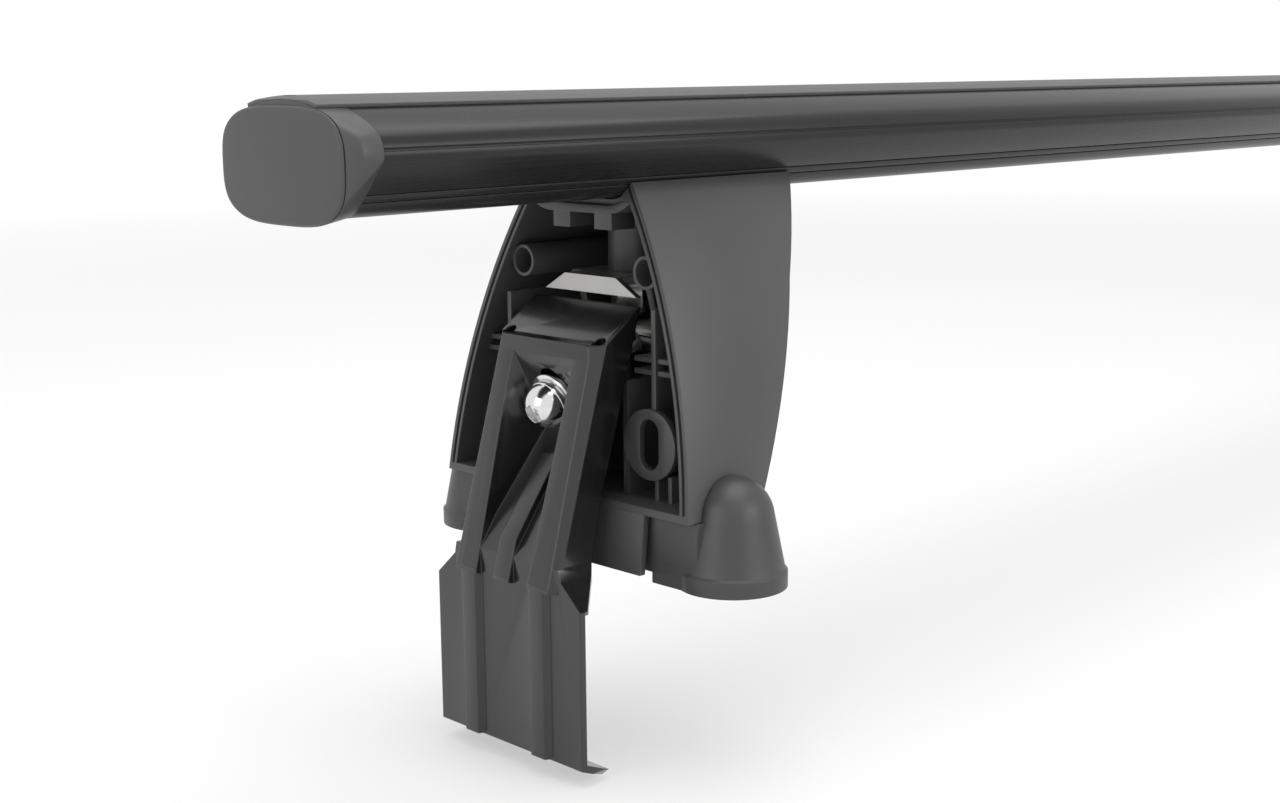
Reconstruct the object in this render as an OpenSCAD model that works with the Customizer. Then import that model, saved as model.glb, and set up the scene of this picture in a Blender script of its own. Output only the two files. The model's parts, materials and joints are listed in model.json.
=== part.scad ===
// Roof rack crossbar: a hollow wing-section bar on two clamping feet.
// X runs along the bar with its middle at X = 0, Y runs across it, Z is up.
// Z = 0 is the underside of the rubber pads. Near is the -X end, far the +X end.

/* [Bar] */
// Length of the bar without its end caps
bar_length = 1180; // [900:10:1400]
// Half of the bar's width, up to its nose
bar_half_width = 29; // [28.5:0.1:30]
// Height of the bar's widest line above the pads
nose_height = 120; // [119.5:0.1:120.5]
// Rise of the crown above the widest line
crown_rise = 12.5; // [12:0.1:13]
// Drop of the flat underside below the widest line
bar_drop = 16; // [15.8:0.1:16.2]
// Slope of the lower flank, from level
flank_angle = 47.7; // [46:0.1:49]
// Radius of the nose above its widest line
nose_upper_radius = 7.5; // [6.5:0.1:8]
// Radius of the nose below its widest line
nose_lower_radius = 2.5; // [2.4:0.05:3]
// Radius between the lower flank and the underside
belly_radius = 10; // [9:0.1:10.5]
// Skin thickness of the hollow section
bar_wall = 2.2; // [1.8:0.05:2.3]
// Thickness of the two inner webs
web = 1.8; // [1.5:0.1:2.2]
// Mouth of the slot in the crown
top_mouth = 10; // [9.8:0.1:10.6]
// Width of the channel under the crown
top_channel = 17; // [16.6:0.1:17.4]
// Height of the channel under the crown
top_channel_height = 4; // [3.7:0.1:4.4]
// Mouth of the slot in the underside
low_mouth = 9; // [8.8:0.1:10]
// Width of the channel above the underside
low_channel = 16; // [15.4:0.1:16.6]
// Height of the channel above the underside
low_channel_height = 6.5; // [6.3:0.1:7]
// Width of the fine line along the nose
nose_line = 0.8; // [0.5:0.1:1]

/* [Top strip] */
// Width of the rubber strip on the crown
strip_width = 29.5; // [26:0.5:32]
// How far the strip stands above the crown
strip_proud = 1; // [0.8:0.05:1.3]
// Width of the strip's stem in the slot
strip_stem = 9.4; // [9:0.1:9.6]
// How far the strip runs out over the end caps
strip_overrun = 8.6; // [7:0.1:8.6]

/* [End caps] */
// Length of the cap that keeps the bar's outline
cap_band = 5.9; // [4:0.1:6.5]
// How far the cap stands out from the bar's end
cap_depth = 10; // [9.8:0.1:12]
// Half of the face's width
face_half_width = 25.8; // [24:0.1:26.5]
// Half of the face's height
face_half_height = 14.4; // [13.6:0.1:14.8]
// Drop of the face's middle below the widest line
face_drop = 3.3; // [2.8:0.1:3.6]
// Length of the plugs that hold the cap
plug_length = 18; // [12:0.5:30]

/* [Foot housing] */
// Distance from the bar's end to the housing's rim
foot_inset = 79; // [70:1:120]
// Underside of the housing above the pads' underside
housing_base = 19.5; // [19.5:0.1:20]
// Largest half-width of the housing's arch
arch_half = 51.1; // [50.5:0.1:52]
// Radius of the arch's bowed sides
arch_radius = 192; // [190:0.5:196]
// Length of the housing along the bar at its base
housing_foot = 29; // [28:0.5:32]
// Length of the housing along the bar at its top
housing_head = 75.5; // [72:0.5:80]
// Wall thickness of the housing's arch
shell = 3.2; // [3:0.1:3.6]
// Thickness of the housing's floor
housing_floor = 2.2; // [1.8:0.1:2.4]
// Lean of the open rim, along the bar per unit of height
rim_lean = 0.107; // [0.09:0.001:0.12]
// Half-width of the skirt below the rim
skirt_half = 34; // [30:0.5:34]
// Diameter of the slotted discs
disc_diameter = 20; // [18:0.5:20.5]
// Outer diameter of the hollow bosses
boss_diameter = 9.3; // [9:0.1:10]
// Bore of the hollow bosses
boss_bore = 7.4; // [7:0.1:7.8]
// Depth of the bore in the front boss
front_socket = 12; // [8:0.5:13]
// Depth of the bore in the rear boss
rear_socket = 14; // [8:0.5:16]

/* [Pad and saddle] */
// Distance of the pad's horns from the middle
horn_offset = 51; // [50.5:0.1:53]
// Radius of the horns at the roof
horn_radius = 15.2; // [14.8:0.1:16]
// Height of the horns' domed tops
horn_height = 30.5; // [29:0.1:32]
// Thickness of the rubber under the bar
saddle = 1.7; // [1.4:0.1:1.7]
// Half-width of the rubber under the bar
saddle_half = 17; // [15:0.5:17]

/* [Bracket and fixings] */
// Thickness of the steel bracket
bracket_sheet = 2.5; // [2:0.1:2.6]
// Outer half-width of the bracket's cheeks
cheek_half = 15.5; // [15:0.1:16]
// Diameter of the barrel nut
barrel_diameter = 12; // [11:0.1:12.2]
// Diameter of both bolts
bolt_diameter = 8; // [7.8:0.1:8]
// Distance of the slot bolt from the rim
slot_bolt_x = 31; // [30.5:0.1:31.5]
// Side of the slot bolt's square head
slot_head = 14; // [13:0.1:14.5]
// Width across the flats of the hexagon nut
nut_flats = 13; // [12.5:0.1:13]

/* [Clamp] */
// Thickness of the pressed sheet
sheet = 2; // [1.6:0.1:2]
// Distance of the plate's front ahead of the rim
clamp_reach = 20.8; // [20.5:0.1:23]
// Half-width of the lower plate
plate_half = 30.3; // [28:0.1:32]
// Depth of the lower plate below the pads' underside
plate_drop = 49.4; // [42:0.1:54]
// Length of the hook along the bar
hook_length = 10; // [8:0.1:12]
// Fall of the hook over its length
hook_fall = 4.2; // [3:0.1:5]
// Half-width of the upper part between its folds
fold_half = 21.7; // [21.2:0.1:21.8]
// Height of the ribs pressed into the sheet
rib_rise = 1.9; // [1.5:0.1:2.1]
// Angle of the clamp bolt above level
bolt_angle = 21; // [20:0.1:22]
// Radius of the clamp bolt's dome
dome_radius = 6.5; // [6:0.1:6.7]

/* [Hidden] */
half_bar = bar_length / 2;
skin = 0.05;
clear = 0.3;
low_z = 0.5;
crown_r = (pow(bar_half_width - nose_upper_radius, 2)
    + pow(crown_rise + low_z, 2) - pow(nose_upper_radius, 2))
    / (2 * (crown_rise + low_z - nose_upper_radius));
crown_c = [0, crown_rise - crown_r];
crown_a = atan2(-low_z - crown_c[1], bar_half_width - nose_upper_radius);
nose_c = [bar_half_width - nose_upper_radius, -low_z];
under_c = [bar_half_width - nose_lower_radius, -low_z];
flank_n = [sin(flank_angle), -cos(flank_angle)];
belly_z = belly_radius - bar_drop;
belly_c = [(under_c * flank_n + nose_lower_radius - belly_radius
    - flank_n[1] * belly_z) / flank_n[0], belly_z];
web_out = top_channel / 2 + web;
top_ceiling = crown_rise - bar_wall;
low_floor = bar_wall - bar_drop;
strip_a = asin(strip_width / 2 / (crown_r + strip_proud));
bevel_angle = 23;
bevel_x = -6.3;
housing_top = nose_height - 10.7;
arch_low = 4.7;
floor_top = housing_base + housing_floor;
back_line = [[housing_foot, housing_base], [58, 80], [housing_head, housing_top]];
cradle = 4.4;
boss_x = 9.7;
boss_y = 25.3;
boss_z = nose_height - 35.8;
barrel_x = 35;
web_top = nose_height - 38.5;
head_z = nose_height + low_floor + clear;
seat_point = [-0.7, web_top - 33.6];
seat_dir = [-sin(bolt_angle), cos(bolt_angle)];
seat_low = seat_point - 10.3 * seat_dir;
seat_high = seat_point + 13.8 * seat_dir;
barrel_z = seat_point[1] + (barrel_x - seat_point[0]) * tan(bolt_angle);
bolt_r = bolt_diameter / 2;
hole_r = bolt_r + clear;
fold_low = [1.4 - clamp_reach, 5];
fold_top = [-1.8, web_top - 16.5];
fold_tilt = atan2(fold_top[0] - fold_low[0], fold_top[1] - fold_low[1]);
rib_line = [[-clamp_reach - rib_rise, -1], [-clamp_reach - rib_rise, 0],
    seat_high, [-5, fold_top[1]], fold_top + [0.1, 0.4], fold_top + [13.3, 9.5]];
hem_line = [fold_top + [12.8, 8.2], [-3.5, 25.1], [-8.2, 5.7], [-8.8, -1]];
pocket_line = [[-clamp_reach, -2], [-clamp_reach, 6.1], seat_low, seat_high];
shoulder = [[fold_half, 6], [22.5, 2.5], [plate_half, -4.5]];

$fn = 64;

// Points of an arc; the end point is left out when last is 0
function arc(c, r, a0, a1, n, last = 1) = [for (i = [0:n - 1 + last])
    c + r * [cos(a0 + (a1 - a0) * i / n), sin(a0 + (a1 - a0) * i / n)]];
function backwards(p) = [for (i = [len(p) - 1:-1:0]) p[i]];
function left(v) = [-v[1], v[0]] / norm(v);
function side(p, i) = left(p[min(i + 1, len(p) - 1)] - p[min(i, len(p) - 2)]);
function miter(p, i) = let (a = side(p, max(i - 1, 0)), b = side(p, i))
    (a + b) / (1 + a * b);
// A line of points moved sideways to its left by d
function shifted(p, d) = [for (i = [0:len(p) - 1]) p[i] + d * miter(p, i)];
function mirrored(p) = concat(p, [for (q = backwards(p)) [-q[0], q[1]]]);
function rim_x(z) = (z - housing_base) * rim_lean;

// Placing helpers: a flat (Y, Z) shape along X, a flat (X, Z) shape across Y
module along_x(x0, x1) translate([x0, 0, 0]) rotate([90, 0, 90])
    linear_extrude(x1 - x0) children();
module along_y(half) rotate([90, 0, 0])
    linear_extrude(2 * half, center = true) children();
module both() {
    children();
    mirror([0, 1, 0]) children();
}
module near_end() translate([-half_bar, 0, 0]) children();
module far_end() mirror([1, 0, 0]) near_end() children();
module near_foot() near_end() translate([foot_inset, 0, 0]) children();
module far_foot() mirror([1, 0, 0]) near_foot() children();
module on_axis() translate([seat_point[0], 0, seat_point[1]])
    rotate([0, 90 - bolt_angle, 0]) children();
module oblong(r, length) {
    for (s = [-1, 1]) translate([s * (length / 2 - r), 0]) circle(r);
    translate([r - length / 2, -r]) square([length - 2 * r, 2 * r]);
}

// Half of the bar's outline grown by g, from the crown round to the underside
function half_outline(g) = concat(
    arc(crown_c, crown_r + g, 90, crown_a, 12, 0),
    arc(nose_c, nose_upper_radius + g, crown_a, 0, 8, 0),
    arc(under_c, nose_lower_radius + g, 0, flank_angle - 90, 5),
    arc(belly_c, belly_radius + g, flank_angle - 90, -90, 6));
module outline(g = 0) translate([0, nose_height]) polygon(concat(half_outline(g),
    [for (q = backwards(half_outline(g))) if (q[0] > 0.001) [-q[0], q[1]]]));

module bar_section() difference() {
    outline();
    for (s = [-1, 1]) {
        intersection() {
            outline(-bar_wall);
            translate([s * (web_out + 20) - 20, nose_height - 30]) square([40, 60]);
        }
        translate([s * (bar_half_width - 0.13), nose_height + 0.9])
            square([1.4, nose_line], center = true);
        for (k = [0, 1]) translate([s * (21.1 - 1.8 * k), nose_height - 10 - 2 * k])
            rotate(s * flank_angle) square([0.5, 0.8], center = true);
    }
    translate([-top_channel / 2, nose_height + low_floor + low_channel_height + web])
        square([top_channel, top_ceiling - top_channel_height - web
            - low_floor - low_channel_height - web]);
    translate([-top_channel / 2, nose_height + top_ceiling - top_channel_height])
        square([top_channel, top_channel_height]);
    translate([-top_mouth / 2, nose_height + top_ceiling - 1])
        square([top_mouth, 10]);
    translate([-low_channel / 2, nose_height + low_floor])
        square([low_channel, low_channel_height]);
    translate([-low_mouth / 2, nose_height - bar_drop - 5])
        square([low_mouth, 5 + bar_wall + 1]);
}

module bar() color([0.45, 0.46, 0.47]) along_x(-half_bar, half_bar) bar_section();

module strip_sheet() translate([0, nose_height]) polygon(concat(
    arc(crown_c, crown_r + strip_proud, 90 + strip_a, 90 - strip_a, 24),
    arc(crown_c, crown_r + 0.02, 90 - strip_a, 90 + strip_a, 24)));

module strip_root() translate([0, nose_height + top_ceiling]) {
    translate([-strip_stem / 2, -1]) square([strip_stem, bar_wall + 1.1]);
    translate([-(top_channel / 2 - 0.5), -3.2]) square([top_channel - 1, 3]);
}

// Slanting cut that trims the strip's end over the cap
module strip_bevel() near_end()
    translate([bevel_x, 0, nose_height + crown_rise + strip_proud - 0.1])
    rotate([0, -bevel_angle, 0]) translate([-30, -30, 0]) cube([30, 60, 20]);

module top_strip() color([0.12, 0.12, 0.12]) difference() {
    union() {
        along_x(-half_bar - strip_overrun, half_bar + strip_overrun) strip_sheet();
        along_x(-half_bar, half_bar) strip_root();
    }
    strip_bevel();
    mirror([1, 0, 0]) strip_bevel();
}

function pow_signed(v, e) = sign(v) * pow(abs(v), e);
module face(g = 0) translate([0, nose_height - face_drop]) polygon([
    for (i = [0:63]) let (a = i * 360 / 64 + 2.8)
        [(face_half_width + g) * pow_signed(cos(a), 0.62),
         (face_half_height + g) * pow_signed(sin(a), 0.62)]]);

module end_cap() color([0.1, 0.1, 0.1]) {
    hull() {
        along_x(-cap_band, 0) outline();
        along_x(-strip_overrun, 0) intersection() {
            outline();
            translate([-17, nose_height]) square([34, 20]);
        }
        along_x(-strip_overrun - 0.2, -strip_overrun) face(0.1);
    }
    along_x(-strip_overrun - 0.6, -strip_overrun) face(-0.4);
    hull() {
        along_x(-cap_depth + 0.7, -strip_overrun - 0.5) face();
        along_x(-cap_depth + 0.2, -cap_depth + 1) face(-0.4);
        along_x(-cap_depth, -cap_depth + 1) face(-1.2);
    }
    for (s = [-1, 1]) along_x(-1, plug_length) intersection() {
        outline(-bar_wall - 0.25);
        translate([s * (web_out + 20.25) - 20, nose_height - 30]) square([40, 60]);
    }
}

// The arch seen along the bar: two bowed sides, grown by g
module arch(g = 0) intersection_for (s = [-1, 1])
    translate([s * (arch_radius - arch_half), arch_low])
        circle(arch_radius + g, $fn = 360);

// The housing's outer volume, grown by g
module housing_block(g = 0) intersection() {
    along_x(-5, 95) arch(g);
    along_y(70) polygon(concat(
        [[rim_x(housing_base) - g, housing_base - g],
         [rim_x(housing_top) - g, housing_top + g]],
        backwards(shifted(back_line, -g))));
}

module housing_hollow() difference() {
    intersection() {
        along_x(-5, 95) arch(-shell);
        along_y(70) intersection() {
            polygon(concat([[-20, housing_base], [-20, housing_top + 2]],
                backwards(shifted(back_line, 2.5))));
            translate([-20, floor_top]) square([120, 120]);
        }
    }
    along_x(-10, 100) outline(cradle);
}

module housing_ribs() both() {
    translate([8.5, 17.5, floor_top - 1]) cube([60, 2, 55 - floor_top]);
    difference() {
        translate([7, 29.1, 37.3]) rotate([0, 90, 0])
            cylinder(d = disc_diameter, h = 2);
        translate([0, 29.1, 37.3]) rotate([0, 90, 0])
            linear_extrude(20) oblong(3.7, 14.3);
    }
    for (y = [30.3, 35.3]) translate([8, y, floor_top - 1]) cube([60, 1.4, 8.3]);
    translate([8, 29.2, 45.8]) cube([60, 1.6, 29]);
    for (z = [56.4, 59.8]) translate([9, 21.5, z]) cube([60, 25, 1.4]);
    translate([boss_x, boss_y, boss_z]) rotate([0, 90, 0])
        cylinder(d = boss_diameter, h = 70);
    translate([10.5, 28.5, 83.4]) cube([60, 6, 1.6]);
    translate([10, 5, 95]) cube([9, 7, 7]);
}

// The bore of a boss, from its open front
module socket(depth) translate([-1, 0, 0]) rotate([0, 90, 0])
    cylinder(d = boss_bore, h = depth + 1);

module housing() color([0.13, 0.13, 0.13]) difference() {
    union() {
        difference() {
            housing_block();
            housing_hollow();
        }
        intersection() {
            housing_block(-0.4);
            union() {
                housing_ribs();
                translate([slot_bolt_x, 0, web_top + skin]) cylinder(d = 16, h = 22);
            }
        }
        along_y(skirt_half) polygon([[rim_x(floor_top), floor_top],
            [rim_x(2.8), 2.8], [rim_x(2.8) + 2, 2.8], [rim_x(floor_top) + 2, floor_top]]);
    }
    along_x(-10, 100) outline(clear + 0.1);
    along_x(-10, 100) intersection() {
        outline(clear + saddle + skin);
        translate([-saddle_half - clear, nose_height - 40])
            square([2 * (saddle_half + clear), 60]);
    }
    intersection() {
        along_x(-5, 30) difference() {
            arch(-1.2);
            arch(-2.2);
        }
        along_y(70) polygon([[rim_x(floor_top) - 2, floor_top],
            [rim_x(housing_top) - 2, housing_top],
            [rim_x(housing_top) + 1.2, housing_top], [rim_x(floor_top) + 1.2, floor_top]]);
    }
    translate([boss_x, -boss_y, boss_z]) socket(front_socket);
    translate([boss_x, boss_y, boss_z]) socket(rear_socket);
    translate([slot_bolt_x, 0, web_top - 10]) cylinder(r = hole_r, h = 50);
}

module pad() color([0.09, 0.09, 0.09]) difference() {
    union() {
        translate([3, -horn_offset, 0]) cube([28, 2 * horn_offset, housing_base - 0.2]);
        both() translate([17, horn_offset, 0]) rotate_extrude() polygon(concat(
            [[0, 0], [horn_radius, 0], [horn_radius, 4.5], [horn_radius - 0.7, 5.2]],
            arc([0, horn_height - 11.6], 11.6, 15, 90, 8)));
    }
    translate([-20, -skirt_half, -1]) cube([80, 2 * skirt_half, 4]);
    intersection() {
        housing_block(0.15);
        translate([-50, -80, housing_base - 0.2]) cube([200, 160, 100]);
    }
}

module saddle_liner() color([0.08, 0.08, 0.08]) difference() {
    along_x(10, 73) intersection() {
        difference() {
            outline(clear + saddle);
            outline(clear);
        }
        translate([-saddle_half, nose_height - 40]) square([2 * saddle_half, 30]);
    }
    translate([slot_bolt_x, 0, nose_height - 30]) cylinder(r = hole_r, h = 30);
}

module bracket() color([0.5, 0.5, 0.5]) difference() {
    union() {
        along_x(12.6, 14.6) polygon([[-19, web_top - 5], [19, web_top - 5],
            [10.5, web_top], [-10.5, web_top]]);
        translate([14, -10.5, web_top - bracket_sheet]) cube([7, 21, bracket_sheet]);
        translate([20, -cheek_half, web_top - bracket_sheet])
            cube([33, 2 * cheek_half, bracket_sheet]);
        for (y = [bracket_sheet / 2 - cheek_half, cheek_half - bracket_sheet / 2])
            translate([0, y, 0]) along_y(bracket_sheet / 2) polygon([[21, web_top],
                [51, web_top], [47, web_top - 9.5], [41, barrel_z - 7.6],
                [29, barrel_z - 7.6]]);
    }
    translate([slot_bolt_x, 0, web_top - 10]) cylinder(r = hole_r, h = 20);
    translate([barrel_x, 0, barrel_z]) rotate([90, 0, 0])
        cylinder(d = barrel_diameter + 0.1, h = 60, center = true);
}

module barrel_nut() color([0.55, 0.55, 0.53]) difference() {
    translate([barrel_x, 0, barrel_z]) rotate([90, 0, 0])
        cylinder(d = barrel_diameter, h = 2 * cheek_half, center = true);
    on_axis() translate([0, 0, 20]) cylinder(r = bolt_r + 0.05, h = 40);
}

module slot_bolt() color([0.55, 0.55, 0.53]) {
    translate([slot_bolt_x - slot_head / 2, -slot_head / 2, head_z])
        cube([slot_head, slot_head, 5.5]);
    translate([slot_bolt_x, 0, web_top - 12])
        cylinder(r = bolt_r, h = head_z - web_top + 13);
}

module slot_washer() color([0.55, 0.55, 0.53])
    translate([slot_bolt_x, 0, web_top - bracket_sheet - 1.6]) difference() {
        cylinder(d = 16, h = 1.6);
        translate([0, 0, -1]) cylinder(r = hole_r, h = 4);
    }

module slot_nut() color([0.55, 0.55, 0.53])
    translate([slot_bolt_x, 0, web_top - bracket_sheet - 8.1]) difference() {
        cylinder(r = nut_flats / sqrt(3), h = 6.5, $fn = 6);
        translate([0, 0, -1]) cylinder(r = bolt_r + 0.02, h = 9);
    }

// The clamp's upper part: a flat (Y, depth) shape run up along its folds
module up_folds() translate([fold_low[0], 0, fold_low[1]]) rotate([0, fold_tilt, 0])
    rotate([0, 0, 90]) translate([0, 0, -20]) linear_extrude(110) children();

module upper_block() intersection() {
    along_y(40) polygon(concat(rib_line, hem_line));
    up_folds() polygon(mirrored([[fold_half, -60], [fold_half, 0],
        [fold_half - 5.3, 4.4]]));
}

module upper_hollow() intersection() {
    along_y(40) polygon(concat(shifted(rib_line, -sheet), [[60, 110], [60, -20]]));
    up_folds() polygon(mirrored(shifted([[fold_half, -60], [fold_half, 0],
        [fold_half - 5.3, 4.4]], sheet)));
}

// The punched pocket that takes the bolt, with its walls grown by g
module pocket(g, front) intersection() {
    along_y(40) polygon(concat(backwards(shifted(pocket_line, -g)), front));
    up_folds() polygon(mirrored([[7 + g, -18], [13 + g, 4.5]]));
    along_x(-60, 40) polygon(mirrored([[10.4 + g, -10], [13.2 + g, 66]]));
}

module plate() intersection() {
    along_y(40) polygon(concat(
        [[hook_length - clamp_reach, -plate_drop - hook_fall],
         [-clamp_reach, -plate_drop], [-clamp_reach, 6]],
        backwards(shifted([[hook_length - clamp_reach, -plate_drop - hook_fall],
         [-clamp_reach, -plate_drop], [-clamp_reach, 6]], -sheet))));
    along_x(-40, 10) polygon(mirrored(concat(
        [[plate_half - 3, -plate_drop - hook_fall - 0.4],
         [plate_half, -plate_drop - hook_fall + 2.6], [plate_half, -4.5]],
        [shoulder[1], shoulder[0]])));
}

module side_rib(x, z) translate([x, 0, z]) linear_extrude(0.5 - z)
    both() polygon([[0.01, 10.6], [-rib_rise, 11.5], [-rib_rise, 17.2],
        [0.01, 18.1]]);

module centre_rib() {
    along_y(3.3) polygon(concat([[-clamp_reach, -33], [-clamp_reach, 6.1], [-2, 31.5]],
        backwards(shifted([[-clamp_reach, -33], [-clamp_reach, 6.1], [-2, 31.5]],
            rib_rise))));
    translate([-clamp_reach - rib_rise, 0, -33]) rotate([0, 90, 0])
        cylinder(r = 3.3, h = rib_rise + 0.1);
}

module shoulder_flange() intersection() {
    along_x(-clamp_reach, 2) polygon(concat(shoulder,
        backwards(shifted(shoulder, -sheet))));
    translate([0, 0, -20]) linear_extrude(40) polygon([[-clamp_reach, 0],
        [-clamp_reach, plate_half + 1], [-clamp_reach + 2.9, plate_half],
        [-8.2, fold_half], [-8.2, 0]]);
}

module clamp() color([0.03, 0.03, 0.03]) difference() {
    union() {
        difference() {
            union() {
                upper_block();
                plate();
                side_rib(-clamp_reach, 0.4 - plate_drop);
            }
            upper_hollow();
            side_rib(-clamp_reach + sheet, 0.4 + sheet - plate_drop);
        }
        pocket(sheet, [[-clamp_reach - rib_rise, -1], [-clamp_reach - rib_rise, 0],
            seat_high, seat_high + [0.4, 2.6]]);
        both() shoulder_flange();
    }
    difference() {
        pocket(0, [[-50, -2], [-50, seat_high[1]]]);
        translate([-clamp_reach, -40, -10]) cube([10, 80, 10]);
        centre_rib();
    }
    on_axis() translate([-2.5, 0, -5]) linear_extrude(20) oblong(4.5, 14);
    both() translate([fold_top[0], 18.6, fold_top[1] + 1]) rotate([0, -40, 0])
        cylinder(r = 2, h = 12, center = true);
}

module clamp_washer() color([0.6, 0.6, 0.6]) on_axis() translate([0, 0, -1.5 - skin])
    difference() {
        cylinder(d = 16, h = 1.5);
        translate([0, 0, -1]) cylinder(r = hole_r, h = 4);
    }

module clamp_bolt() color([0.7, 0.7, 0.7]) on_axis() difference() {
    union() {
        translate([0, 0, -2]) cylinder(r = bolt_r, h = 48.8);
        translate([0, 0, -3.7]) cylinder(r = 6.75, h = 2);
        translate([0, 0, -3.7]) rotate([180, 0, 0]) rotate_extrude() polygon(concat(
            [[0, -0.1]], arc([0, 0], dome_radius, 0, 90, 10)));
    }
    translate([0, 0, -12]) cylinder(r = 2.9, h = 5.6, $fn = 6);
}

bar();
top_strip();
near_end() end_cap();  // near_end_cap
far_end() end_cap();  // far_end_cap
near_foot() housing();  // near_housing
near_foot() pad();  // near_pad
near_foot() saddle_liner();  // near_saddle
near_foot() bracket();  // near_bracket
near_foot() barrel_nut();  // near_barrel_nut
near_foot() slot_bolt();  // near_slot_bolt
near_foot() slot_washer();  // near_slot_washer
near_foot() slot_nut();  // near_slot_nut
near_foot() clamp();  // near_clamp
near_foot() clamp_washer();  // near_clamp_washer
near_foot() clamp_bolt();  // near_clamp_bolt
far_foot() housing();  // far_housing
far_foot() pad();  // far_pad
far_foot() saddle_liner();  // far_saddle
far_foot() bracket();  // far_bracket
far_foot() barrel_nut();  // far_barrel_nut
far_foot() slot_bolt();  // far_slot_bolt
far_foot() slot_washer();  // far_slot_washer
far_foot() slot_nut();  // far_slot_nut
far_foot() clamp();  // far_clamp
far_foot() clamp_washer();  // far_clamp_washer
far_foot() clamp_bolt();  // far_clamp_bolt
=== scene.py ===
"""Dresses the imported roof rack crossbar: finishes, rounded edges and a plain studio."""

import json
import logging
import math
from dataclasses import dataclass, field
from enum import Enum

import bpy
from mathutils import Matrix, Vector


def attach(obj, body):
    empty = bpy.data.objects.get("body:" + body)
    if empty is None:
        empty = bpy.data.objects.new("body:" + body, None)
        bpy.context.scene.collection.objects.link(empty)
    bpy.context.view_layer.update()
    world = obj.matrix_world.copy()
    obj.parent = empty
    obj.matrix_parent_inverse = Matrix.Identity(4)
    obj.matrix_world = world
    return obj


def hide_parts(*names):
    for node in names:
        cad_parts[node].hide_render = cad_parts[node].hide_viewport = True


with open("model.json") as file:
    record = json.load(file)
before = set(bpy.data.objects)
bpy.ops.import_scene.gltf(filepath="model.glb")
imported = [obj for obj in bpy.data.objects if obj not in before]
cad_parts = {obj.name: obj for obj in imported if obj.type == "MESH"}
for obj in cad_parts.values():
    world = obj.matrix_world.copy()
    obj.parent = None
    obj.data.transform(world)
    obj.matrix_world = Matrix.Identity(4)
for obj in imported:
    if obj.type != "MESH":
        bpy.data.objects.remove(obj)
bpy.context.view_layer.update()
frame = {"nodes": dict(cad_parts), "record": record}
MM = 0.001
log = logging.getLogger("crossbar")


class Side(Enum):
    """The two ends of the bar. The value is the direction of the bar's middle, seen from the foot."""

    NEAR = 1
    FAR = -1

    @property
    def word(self) -> str:
        """The side's name as the nodes spell it."""
        return self.name.lower()


class Axis(Enum):
    """Directions in which a finish can be drawn out."""

    X = (1.0, 0.0, 0.0)
    Y = (0.0, 1.0, 0.0)
    Z = (0.0, 0.0, 1.0)


class Signal:
    """A shader socket that can be added, multiplied and clamped like a number."""

    def __init__(self, bench: "Bench", socket: bpy.types.NodeSocket) -> None:
        """Wraps a socket.

        Args:
            bench: The node bench that adds the maths nodes.
            socket: The output socket that carries the value.
        """
        self.bench = bench
        self.socket = socket

    def _maths(self, operation: str, *values: "Signal | float", clamp: bool = False) -> "Signal":
        """Adds one Math node over the given values.

        Args:
            operation: The Math node's operation.
            values: Its inputs in order.
            clamp: Whether its result is held between 0 and 1.

        Returns:
            The node's result.
        """
        settings = {"operation": operation, "use_clamp": clamp}
        inputs = dict(enumerate(values))
        return self.bench.node("ShaderNodeMath", settings, inputs)

    def __add__(self, other: "Signal | float") -> "Signal":
        """Sum."""
        return self._maths("ADD", self, other)

    __radd__ = __add__

    def __mul__(self, other: "Signal | float") -> "Signal":
        """Product."""
        return self._maths("MULTIPLY", self, other)

    __rmul__ = __mul__

    def __sub__(self, other: "Signal | float") -> "Signal":
        """Difference."""
        return self._maths("SUBTRACT", self, other)

    def __rsub__(self, other: float) -> "Signal":
        """Difference from a number."""
        return self._maths("SUBTRACT", other, self)

    def __pow__(self, other: float) -> "Signal":
        """Power."""
        return self._maths("POWER", self, other)

    def clamped(self) -> "Signal":
        """The value held between 0 and 1."""
        return self._maths("ADD", self, 0.0, clamp=True)


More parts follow.
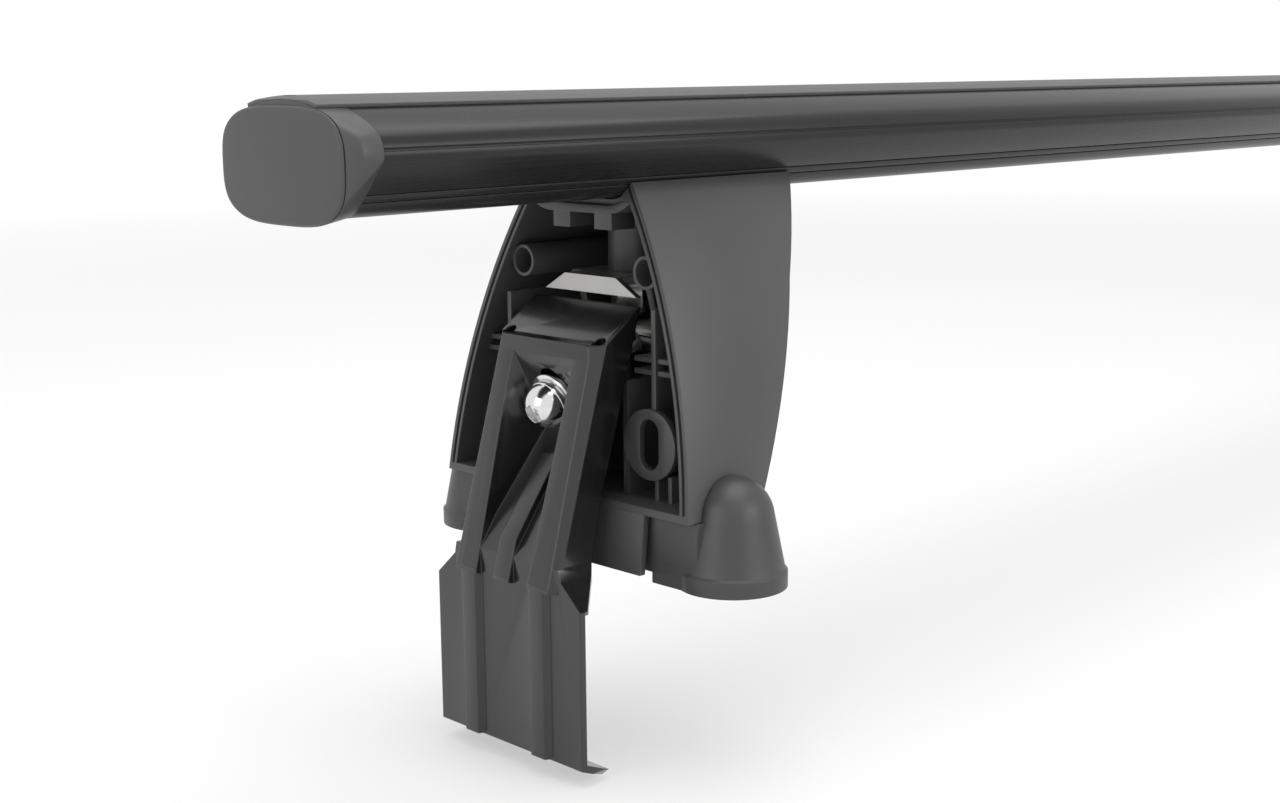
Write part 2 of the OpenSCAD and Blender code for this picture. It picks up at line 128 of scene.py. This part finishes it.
class Bench:
    """Builds the node tree of one material or of the world."""

    def __init__(self, name: str, owner: bpy.types.World | None = None) -> None:
        """Starts with an empty node tree.

        Args:
            name: The material's name.
            owner: A world to use in place of a new material.
        """
        self.material = owner or bpy.data.materials.new(name)
        self.material.use_nodes = True
        self.tree = self.material.node_tree
        self.tree.nodes.clear()

    @classmethod
    def of_world(cls, world: bpy.types.World) -> "Bench":
        """A bench for the world's own tree."""
        return cls(world.name, world)

    def node(
        self,
        kind: str,
        settings: dict[str, object] | None = None,
        inputs: dict[int | str, object] | None = None,
        output: int | str = 0,
    ) -> Signal:
        """Adds a node, sets it up and wires it.

        Args:
            kind: The node's type name.
            settings: Its properties; "stops" holds a ramp's positions and greys.
            inputs: Values or signals for its input sockets.
            output: The output socket to hand back.

        Returns:
            The chosen output socket.
        """
        made = self.tree.nodes.new(kind)
        for key, value in (settings or {}).items():
            if key == "stops":
                self._ramp(made, value)
            else:
                setattr(made, key, value)
        for key, value in (inputs or {}).items():
            if isinstance(value, Signal):
                self.tree.links.new(value.socket, made.inputs[key])
            else:
                made.inputs[key].default_value = value
        return Signal(self, made.outputs[output])

    @staticmethod
    def _ramp(made: bpy.types.Node, stops: list[tuple[float, float]]) -> None:
        """Sets a colour ramp's stops.

        Args:
            made: The ramp node.
            stops: Pairs of position and grey level.
        """
        ramp = made.color_ramp
        while len(ramp.elements) < len(stops):
            ramp.elements.new(0.5)
        for element, (place, grey) in zip(ramp.elements, stops):
            element.position = place
            element.color = (grey, grey, grey, 1.0)

    def ramp(self, value: Signal, stops: list[tuple[float, float]]) -> Signal:
        """A grey ramp over a value.

        Args:
            value: What drives the ramp.
            stops: Pairs of position and grey level.

        Returns:
            The ramp's colour.
        """
        return self.node("ShaderNodeValToRGB", {"stops": stops}, {"Fac": value})

    def place(self, stretch: tuple[float, float, float] = (1.0, 1.0, 1.0)) -> Signal:
        """Object coordinates, drawn out per axis.

        Args:
            stretch: The scale along X, Y and Z.

        Returns:
            The coordinates.
        """
        coords = self.node("ShaderNodeTexCoord", output="Object")
        return self.node("ShaderNodeMapping", None, {"Vector": coords, "Scale": stretch})

    def noise(
        self, scale: float, detail: float = 2.0, where: Signal | None = None, rough: float = 0.5
    ) -> Signal:
        """A noise pattern.

        Args:
            scale: Its size in cycles per metre.
            detail: Its number of finer layers.
            where: The coordinates; plain object coordinates if left out.
            rough: How strong the finer layers are.

        Returns:
            The noise value.
        """
        vector = where or self.place()
        inputs = {"Vector": vector, "Scale": scale, "Detail": detail, "Roughness": rough}
        return self.node("ShaderNodeTexNoise", None, inputs)

    def grey_mix(self, factor: Signal, low: float, high: float, tint: "Tint") -> Signal:
        """A colour between two greys of one tint.

        Args:
            factor: 0 gives low, 1 gives high.
            low: The darker grey.
            high: The lighter grey.
            tint: The hue that both greys take.

        Returns:
            The mixed colour.
        """
        settings = {"data_type": "RGBA", "blend_type": "MIX"}
        inputs = {0: factor, 6: tint.at(low), 7: tint.at(high)}
        return self.node("ShaderNodeMix", settings, inputs, output=2)

    def soft_edges(self, radius_mm: float) -> Signal:
        """Rounds the light's play over the edges that the mesh leaves sharp.

        Args:
            radius_mm: The rounding's radius.

        Returns:
            The normal.
        """
        return self.node("ShaderNodeBevel", {"samples": 6}, {"Radius": radius_mm * MM})

    def bump(self, height: Signal, depth_mm: float, below: Signal) -> Signal:
        """Surface relief.

        Args:
            height: The relief's height signal, from 0 to 1.
            depth_mm: How deep it is.
            below: The normal of what lies under this relief.

        Returns:
            The normal.
        """
        inputs = {"Height": height, "Distance": depth_mm * MM, "Strength": 1.0, "Normal": below}
        return self.node("ShaderNodeBump", None, inputs)

    def surface(self, inputs: dict[int | str, object]) -> bpy.types.Material:
        """Ends the tree in one Principled shader.

        Args:
            inputs: Values or signals for the shader's sockets.

        Returns:
            The finished material.
        """
        return self.end(self.node("ShaderNodeBsdfPrincipled", None, inputs))

    def end(self, shader: Signal) -> bpy.types.Material:
        """Joins the last shader to the material's output.

        Args:
            shader: The shader's output.

        Returns:
            The finished material.
        """
        out = self.tree.nodes.new("ShaderNodeOutputMaterial")
        self.tree.links.new(shader.socket, out.inputs["Surface"])
        return self.material


@dataclass(frozen=True)
class Tint:
    """A hue as red, green and blue factors on a grey."""

    red: float = 1.0
    green: float = 1.0
    blue: float = 1.0

    def at(self, grey: float) -> tuple[float, float, float, float]:
        """The tinted grey as a colour."""
        return (grey * self.red, grey * self.green, grey * self.blue, 1.0)


@dataclass(frozen=True)
class DrawnAluminium:
    """Black anodised aluminium with fine die lines along the bar."""

    grey: float = 0.016
    rough: float = 0.27
    specular: float = 0.3
    edge_mm: float = 0.25
    tint: Tint = Tint(1.0, 1.0, 1.03)

    def build(self) -> bpy.types.Material:
        """Makes the material."""
        bench = Bench("drawn_aluminium")
        lines = bench.noise(900.0, 2.0, bench.place((0.006, 1.0, 1.0)), 0.6)
        cloud = bench.noise(9.0, 3.0, bench.place((0.5, 1.0, 1.0)))
        speck = bench.noise(5200.0, 1.0)
        tone = (lines * 0.5 + cloud * 0.5).clamped()
        edges = bench.soft_edges(self.edge_mm)
        return bench.surface(
            {
                "Base Color": bench.grey_mix(tone, self.grey * 0.7, self.grey * 1.3, self.tint),
                "Metallic": 0.15,
                "Specular IOR Level": self.specular,
                "Roughness": lines * 0.08 + cloud * 0.06 + (self.rough - 0.07),
                "Normal": bench.bump(speck, 0.003, bench.bump(lines, 0.008, edges)),
            }
        )


@dataclass(frozen=True)
class SoftRubber:
    """Moulded or extruded rubber with a dull bloom."""

    name: str
    grey: float = 0.05
    rough: float = 0.5
    edge_mm: float = 0.4
    tint: Tint = Tint()
    stretch: tuple[float, float, float] = (1.0, 1.0, 1.0)

    def build(self) -> bpy.types.Material:
        """Makes the material."""
        bench = Bench(self.name)
        bloom = bench.noise(35.0, 4.0, bench.place(self.stretch), 0.6)
        pores = bench.noise(2600.0, 2.0, bench.place(self.stretch))
        edges = bench.soft_edges(self.edge_mm)
        return bench.surface(
            {
                "Base Color": bench.grey_mix(bloom, self.grey * 0.75, self.grey * 1.25, self.tint),
                "Roughness": bloom * 0.16 + pores * 0.06 + (self.rough - 0.1),
                "Normal": bench.bump(pores, 0.012, bench.bump(bloom, 0.03, edges)),
            }
        )


@dataclass(frozen=True)
class MouldedPlastic:
    """Moulded plastic with a fine spark-eroded grain."""

    name: str
    grey: float = 0.05
    rough: float = 0.45
    grain_mm: float = 0.012
    edge_mm: float = 0.3
    tint: Tint = Tint()

    def build(self) -> bpy.types.Material:
        """Makes the material."""
        bench = Bench(self.name)
        cells = bench.node(
            "ShaderNodeTexVoronoi",
            {"feature": "SMOOTH_F1"},
            {"Vector": bench.place(), "Scale": 1700.0, "Smoothness": 0.6},
        )
        grain = bench.noise(2400.0, 2.0)
        cloud = bench.noise(28.0, 3.0)
        relief = (cells * 0.6 + grain * 0.4).clamped()
        return bench.surface(
            {
                "Base Color": bench.grey_mix(cloud, self.grey * 0.86, self.grey * 1.14, self.tint),
                "Roughness": cloud * 0.1 + grain * 0.08 + (self.rough - 0.09),
                "Normal": bench.bump(relief, self.grain_mm, bench.soft_edges(self.edge_mm)),
            }
        )


@dataclass(frozen=True)
class GlossCoat:
    """Glossy black dip coat over pressed steel, with a faint orange peel."""

    grey: float = 0.008
    rough: float = 0.24
    edge_mm: float = 0.7

    def build(self) -> bpy.types.Material:
        """Makes the material."""
        bench = Bench("gloss_coat")
        peel = bench.noise(420.0, 2.0, None, 0.4)
        cloud = bench.noise(40.0, 3.0)
        return bench.surface(
            {
                "Base Color": bench.grey_mix(cloud, self.grey * 0.8, self.grey * 1.3, Tint()),
                "Roughness": cloud * 0.1 + peel * 0.05 + (self.rough - 0.07),
                "Coat Weight": 0.4,
                "Coat Roughness": 0.1,
                "Normal": bench.bump(peel, 0.006, bench.soft_edges(self.edge_mm)),
            }
        )


@dataclass(frozen=True)
class BareSteel:
    """Plated or polished steel."""

    name: str
    grey: float = 0.5
    rough: float = 0.3
    tint: Tint = Tint(1.0, 0.99, 0.97)
    grain: Axis = Axis.X
    edge_mm: float = 0.2

    def build(self) -> bpy.types.Material:
        """Makes the material."""
        bench = Bench(self.name)
        along = self.grain.value
        stretch = tuple(0.05 if part else 1.0 for part in along)
        lines = bench.noise(1500.0, 2.0, bench.place(stretch))
        cloud = bench.noise(90.0, 3.0)
        return bench.surface(
            {
                "Base Color": bench.grey_mix(cloud, self.grey * 0.85, self.grey * 1.1, self.tint),
                "Metallic": 1.0,
                "Roughness": lines * 0.08 + cloud * 0.08 + (self.rough - 0.08),
                "Normal": bench.bump(lines, 0.006, bench.soft_edges(self.edge_mm)),
            }
        )


def seen_ray(bench: Bench) -> Signal:
    """Tells the rays that see a surface from those that only gather light from it.

    Args:
        bench: The bench of the floor or of the air.

    Returns:
        1 for a ray from the camera, from a mirror or through glass, otherwise 0.
    """
    kinds = ("Is Camera Ray", "Is Glossy Ray", "Is Transmission Ray")
    rays = [bench.node("ShaderNodeLightPath", output=kind) for kind in kinds]
    return (rays[0] + rays[1] + rays[2]).clamped()


@dataclass(frozen=True)
class StudioPaper:
    """Pale floor that looks white and keeps the object's shadow."""

    grey: float = 0.85
    glow: float = 0.45
    fade_from: float = 0.8
    fade_over: float = 1.2

    def build(self) -> bpy.types.Material:
        """Makes the material."""
        bench = Bench("studio_paper")
        paper = bench.node("ShaderNodeBsdfDiffuse", None, {"Color": Tint().at(self.grey)})
        shine = bench.node("ShaderNodeEmission", None, {"Color": Tint().at(1.0), "Strength": 1.0})
        away = bench.node("ShaderNodeVectorMath", {"operation": "LENGTH"}, {0: bench.place()}, 1)
        fade = ((away - self.fade_from) * (1.0 / self.fade_over)).clamped()
        share = fade * (1.0 - self.glow) + self.glow
        seen = bench.node("ShaderNodeMixShader", None, {0: share, 1: paper, 2: shine})
        mixed = bench.node("ShaderNodeMixShader", None, {0: seen_ray(bench), 1: paper, 2: seen})
        return bench.end(mixed)


def only(piece: bpy.types.Object) -> None:
    """Selects one object alone and makes it active.

    Args:
        piece: The object.
    """
    bpy.ops.object.select_all(action="DESELECT")
    piece.select_set(True)
    bpy.context.view_layer.objects.active = piece


@dataclass
class Dressing:
    """How a CAD node's copy is smoothed, rounded and finished."""

    finish: bpy.types.Material
    slot: str
    edge_mm: float = 0.3
    angle: float = 30.0
    segments: int = 2


class Dresser:
    """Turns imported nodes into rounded, finished copies that stand in for them."""

    def __init__(self) -> None:
        """Reads which body carries each node."""
        self.body_of = {
            node: body
            for body, nodes in frame["record"]["behaviour"]["bodies"].items()
            for node in nodes
        }

    def dress(self, node: str, how: Dressing) -> bpy.types.Object:
        """Copies a node, merges and rounds the copy and gives it its finish.

        Args:
            node: The node's name.
            how: The smoothing and the finish.

        Returns:
            The finished piece.
        """
        source = frame["nodes"][node]
        piece = bpy.data.objects.new(f"{node}_dressed", source.data.copy())
        bpy.context.collection.objects.link(piece)
        piece.data.materials.clear()
        piece.data.materials.append(how.finish)
        only(piece)
        bpy.ops.object.mode_set(mode="EDIT")
        bpy.ops.mesh.select_all(action="SELECT")
        bpy.ops.mesh.remove_doubles(threshold=0.000002)
        bpy.ops.mesh.dissolve_limited(angle_limit=math.radians(0.05))
        bpy.ops.mesh.select_all(action="DESELECT")
        bpy.ops.object.mode_set(mode="OBJECT")
        if piece.data.has_custom_normals:
            bpy.ops.mesh.customdata_custom_splitnormals_clear()
        if how.edge_mm:
            self._round(piece, how)
        only(piece)
        bpy.ops.object.shade_smooth_by_angle(angle=math.radians(how.angle))
        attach(piece, self.body_of[node])
        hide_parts(node)
        log.info("%s: %d faces", piece.name, len(piece.data.polygons))
        return piece

    @staticmethod
    def _round(piece: bpy.types.Object, how: Dressing) -> None:
        """Rounds the sharp edges.

        Args:
            piece: The piece.
            how: The rounding's size and angle limit.
        """
        bevel = piece.modifiers.new("rounding", "BEVEL")
        bevel.width = how.edge_mm * MM
        bevel.segments = how.segments
        bevel.limit_method = "ANGLE"
        bevel.angle_limit = math.radians(how.angle)
        bevel.miter_outer = "MITER_ARC"
        bevel.use_clamp_overlap = True
        bevel.harden_normals = False
        bpy.ops.object.modifier_apply(modifier=bevel.name)


@dataclass
class Finishes:
    """All finishes of the crossbar."""

    aluminium: bpy.types.Material = field(default_factory=lambda: DrawnAluminium().build())
    strip: bpy.types.Material = field(
        default_factory=lambda: SoftRubber("strip_rubber", 0.085, 0.55, stretch=(0.2, 1, 1)).build()
    )
    cap: bpy.types.Material = field(
        default_factory=lambda: MouldedPlastic("cap_plastic", 0.05, 0.45).build()
    )
    housing: bpy.types.Material = field(
        default_factory=lambda: MouldedPlastic("housing_plastic", 0.05, 0.4, 0.012).build()
    )
    pad: bpy.types.Material = field(
        default_factory=lambda: SoftRubber("pad_rubber", 0.04, 0.42).build()
    )
    coat: bpy.types.Material = field(default_factory=lambda: GlossCoat().build())
    plated: bpy.types.Material = field(
        default_factory=lambda: BareSteel("plated_steel", 0.45, 0.38).build()
    )
    zinc: bpy.types.Material = field(
        default_factory=lambda: BareSteel("zinc_steel", 0.55, 0.3, Tint(1.0, 1.0, 0.97)).build()
    )
    polished: bpy.types.Material = field(
        default_factory=lambda: BareSteel("polished_steel", 0.75, 0.14, Tint()).build()
    )


@dataclass
class WingBar:
    """The bar with its strip and its two end caps."""

    finishes: Finishes
    dresser: Dresser

    def build(self) -> None:
        """Dresses the bar, the strip and the caps."""
        marks = self.finishes
        self.dresser.dress("bar", Dressing(marks.aluminium, "bar_aluminium", 0.12, 35.0))
        self.dresser.dress("top_strip", Dressing(marks.strip, "strip_rubber", 0.3, 35.0))
        for side in Side:
            how = Dressing(marks.cap, "cap_plastic", 0.15, 30.0)
            self.dresser.dress(f"{side.word}_end_cap", how)


@dataclass
class Foot:
    """One foot: the housing, its rubber and the fixings inside."""

    side: Side
    finishes: Finishes
    dresser: Dresser

    def build(self) -> None:
        """Dresses every piece of the foot."""
        marks = self.finishes
        plan = {
            "housing": Dressing(marks.housing, "housing_plastic", 0.35, 30.0),
            "pad": Dressing(marks.pad, "pad_rubber", 0.8, 30.0, 3),
            "saddle": Dressing(marks.pad, "pad_rubber", 0.3),
            "bracket": Dressing(marks.plated, "bracket_steel", 0.3),
            "barrel_nut": Dressing(marks.zinc, "zinc_steel", 0.3),
            "slot_bolt": Dressing(marks.zinc, "zinc_steel", 0.3),
            "slot_washer": Dressing(marks.zinc, "zinc_steel", 0.2),
            "slot_nut": Dressing(marks.zinc, "zinc_steel", 0.4),
        }
        for name, how in plan.items():
            self.dresser.dress(f"{self.side.word}_{name}", how)


@dataclass
class ClampSet:
    """The hooked clamp with its washer and bolt."""

    side: Side
    finishes: Finishes
    dresser: Dresser

    def build(self) -> None:
        """Dresses the clamp, the washer and the bolt."""
        marks = self.finishes
        plan = {
            "clamp": Dressing(marks.coat, "clamp_coat", 0.7, 15.0, 3),
            "clamp_washer": Dressing(marks.polished, "bolt_chrome", 0.2),
            "clamp_bolt": Dressing(marks.polished, "bolt_chrome", 0.25, 35.0),
        }
        for name, how in plan.items():
            self.dresser.dress(f"{self.side.word}_{name}", how)


@dataclass
class Lamp:
    """A soft rectangular studio lamp aimed at a point."""

    name: str
    place: tuple[float, float, float]
    aim: tuple[float, float, float]
    size: tuple[float, float]
    watts: float

    def build(self) -> bpy.types.Object:
        """Hangs the lamp.

        Returns:
            The lamp object.
        """
        data = bpy.data.lights.new(self.name, "AREA")
        data.shape = "RECTANGLE"
        data.size, data.size_y = self.size
        data.energy = self.watts
        lamp = bpy.data.objects.new(self.name, data)
        lamp.location = self.place
        towards = Vector(self.aim) - Vector(self.place)
        lamp.rotation_euler = towards.to_track_quat("-Z", "Y").to_euler()
        bpy.context.collection.objects.link(lamp)
        return lamp


@dataclass
class Studio:
    """Floor, lamps, backdrop colour and camera."""

    floor_z: float = -0.0548
    world_grey: float = 0.75
    eye: tuple[float, float, float] = (-0.8406, -0.3682, 0.1396)
    right: tuple[float, float, float] = (0.7121, -0.7020, -0.0081)
    up: tuple[float, float, float] = (0.1358, 0.1264, 0.9826)
    ahead: tuple[float, float, float] = (0.6888, 0.7009, -0.1853)

    def build(self) -> None:
        """Sets up the whole studio."""
        self._floor()
        self._backdrop()
        self._lamps()
        self._camera()
        bpy.context.scene.view_settings.view_transform = "Standard"

    def _floor(self) -> None:
        """Lays the pale floor."""
        bpy.ops.object.select_all(action="DESELECT")
        bpy.ops.mesh.primitive_plane_add(size=30.0, location=(0.0, 0.0, self.floor_z))
        floor = bpy.context.active_object
        floor.name = "studio_floor"
        floor.data.materials.append(StudioPaper().build())

    def _backdrop(self) -> None:
        """Gives the world a pale light and a white look to the rays that see it."""
        world = bpy.data.worlds.new("studio_air")
        bpy.context.scene.world = world
        bench = Bench.of_world(world)
        soft = bench.node("ShaderNodeBackground", None, {"Color": Tint().at(self.world_grey)})
        white = bench.node("ShaderNodeBackground", None, {"Color": Tint().at(1.0)})
        mixed = bench.node("ShaderNodeMixShader", None, {0: seen_ray(bench), 1: soft, 2: white})
        out = bench.tree.nodes.new("ShaderNodeOutputWorld")
        bench.tree.links.new(mixed.socket, out.inputs["Surface"])

    def _lamps(self) -> None:
        """Hangs the soft lamps."""
        foot = (-0.5, 0.0, 0.05)
        Lamp("top_lamp", (-0.4, -0.1, 1.6), foot, (1.6, 1.2), 14.0).build()
        Lamp("side_lamp", (-0.2, -1.7, 0.7), foot, (1.2, 0.9), 10.0).build()
        Lamp("end_lamp", (-2.0, 0.1, 0.5), foot, (0.9, 0.9), 5.0).build()

    def _camera(self) -> None:
        """Places the camera where the photograph was taken."""
        data = bpy.data.cameras.new("photo_camera")
        data.lens = 50.0
        data.sensor_width = 36.0
        data.clip_start = 0.01
        data.clip_end = 100.0
        camera = bpy.data.objects.new("photo_camera", data)
        bpy.context.collection.objects.link(camera)
        back = -Vector(self.ahead)
        columns = Matrix((self.right, self.up, back)).transposed().to_4x4()
        camera.matrix_world = Matrix.Translation(self.eye) @ columns
        bpy.context.scene.camera = camera


def main() -> None:
    """Builds the studio and dresses every piece."""
    logging.basicConfig(level=logging.INFO, format="%(name)s %(message)s")
    Studio().build()
    finishes = Finishes()
    dresser = Dresser()
    WingBar(finishes, dresser).build()
    for side in Side:
        Foot(side, finishes, dresser).build()
        ClampSet(side, finishes, dresser).build()


if __name__ == "__main__":
    main()
